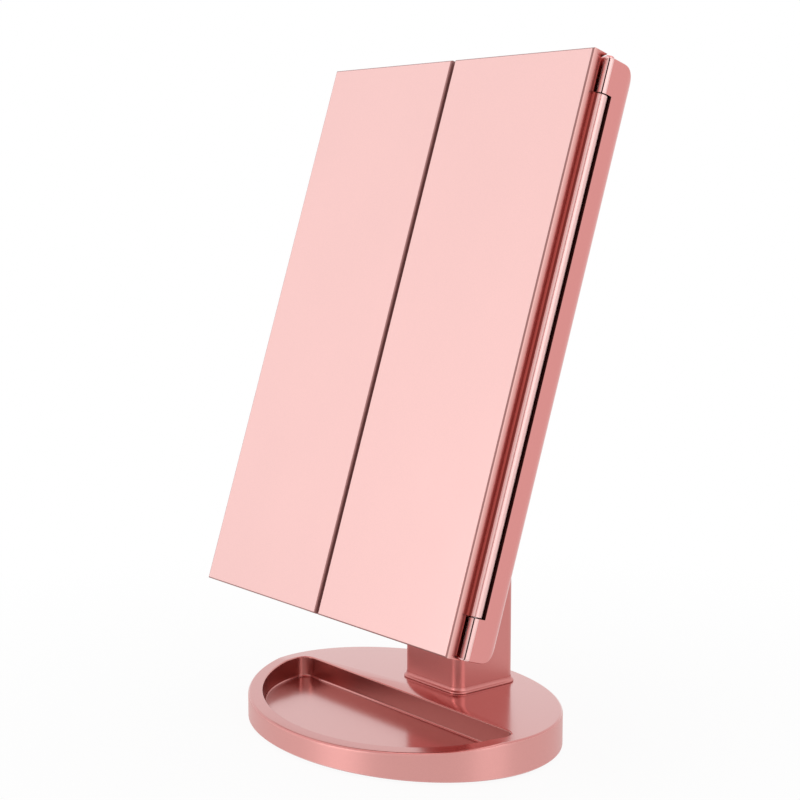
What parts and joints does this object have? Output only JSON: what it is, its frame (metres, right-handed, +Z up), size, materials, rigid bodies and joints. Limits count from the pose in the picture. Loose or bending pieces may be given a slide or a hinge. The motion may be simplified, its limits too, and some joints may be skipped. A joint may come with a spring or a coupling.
{
  "type": "lighted makeup mirror",
  "caption": "Tri-fold lighted vanity mirror with door-like wings, tilting on an upright that stands on an oval tray base.",
  "frame": {"origin": "on the table, under the middle of the oval base", "axes": "+Z up, -Y out of the front, +X to the viewer's right"},
  "size_m": [0.18, 0.1298, 0.3097],
  "materials": {
    "rose_gloss": "semi-gloss rose gold lacquer",
    "rose_satin": "satin rose gold lacquer",
    "dark_plastic": "matte",
    "white_plastic": "satin",
    "mirror": "polished",
    "frosted": "frosted",
    "rubber": "matte",
    "steel": "brushed",
    "contact_metal": "plated",
    "board_green": "lacquered board",
    "board_white": "lacquered board",
    "cell_jacket": "printed wrap"
  },
  "bodies": {
    "base": {"base_shell": "rose_gloss", "base_cover": "dark_plastic", "foot_front_left": "rubber", "foot_front_right": "rubber", "foot_rear_left": "rubber", "foot_rear_right": "rubber", "ballast_plate": "steel", "column_shell": "rose_gloss", "clamp_plate": "steel", "clamp_screw_left": "steel", "clamp_screw_right": "steel", "battery_tray": "dark_plastic", "battery_cell_left_1": "cell_jacket", "battery_cell_left_2": "cell_jacket", "battery_cell_right_1": "cell_jacket", "battery_cell_right_2": "cell_jacket", "contact_leaf_lower": "contact_metal", "contact_leaf_upper": "contact_metal", "power_board": "board_green", "usb_inlet": "steel", "switch_body": "dark_plastic", "hinge_axle": "steel", "hinge_nut": "steel", "friction_washer_left": "steel", "friction_washer_right": "steel", "hinge_cap_left": "rose_gloss", "hinge_cap_right": "rose_gloss"},
    "switch_slider": {"switch_knob": "dark_plastic"},
    "door": {"battery_door": "rose_gloss"},
    "head": {"hinge_neck": "rose_gloss", "backing_plate": "steel", "neck_screw_1": "steel", "neck_screw_2": "steel", "neck_screw_3": "steel", "neck_screw_4": "steel", "rear_casing": "rose_satin", "front_frame": "rose_satin", "centre_mirror": "mirror", "light_window_left": "frosted", "light_window_right": "frosted", "light_window_top": "frosted", "led_strip_left": "board_white", "led_strip_right": "board_white", "led_strip_top": "board_white", "touch_sensor": "board_green", "control_board": "board_green", "hinge_pin_left_lower": "steel", "hinge_pin_left_upper": "steel", "hinge_pin_right_lower": "steel", "hinge_pin_right_upper": "steel"},
    "left_wing": {"left_wing_cover": "rose_satin", "left_wing_frame": "white_plastic", "left_mirror_upper": "mirror", "left_mirror_lower": "mirror"},
    "right_wing": {"right_wing_cover": "rose_satin", "right_wing_frame": "white_plastic", "right_mirror": "mirror"}
  },
  "joints": [
    {"name": "head_tilt", "type": "hinge", "parent": "base", "child": "head", "pos_m": [0, 0.0355, 0.151], "axis": [-1, 0, 0], "range_deg": [-17.9, 72]},
    {"name": "right_wing_fold", "type": "hinge", "parent": "head", "child": "right_wing", "pos_m": [0.087, 0.00299, 0.1821], "axis": [0, 0.3075, 0.9515], "range_deg": [0, 120]},
    {"name": "left_wing_fold", "type": "hinge", "parent": "head", "child": "left_wing", "pos_m": [-0.087, 0.00299, 0.1821], "axis": [0, -0.3075, -0.9515], "range_deg": [0, 120]},
    {"name": "power_switch", "type": "slide", "parent": "base", "child": "switch_slider", "axis": [1, 0, 0], "range_m": [0, 0.004]},
    {"name": "battery_door_lift", "type": "slide", "parent": "base", "child": "door", "axis": [0, 1, 0], "range_m": [0, 0.03]}
  ]
}
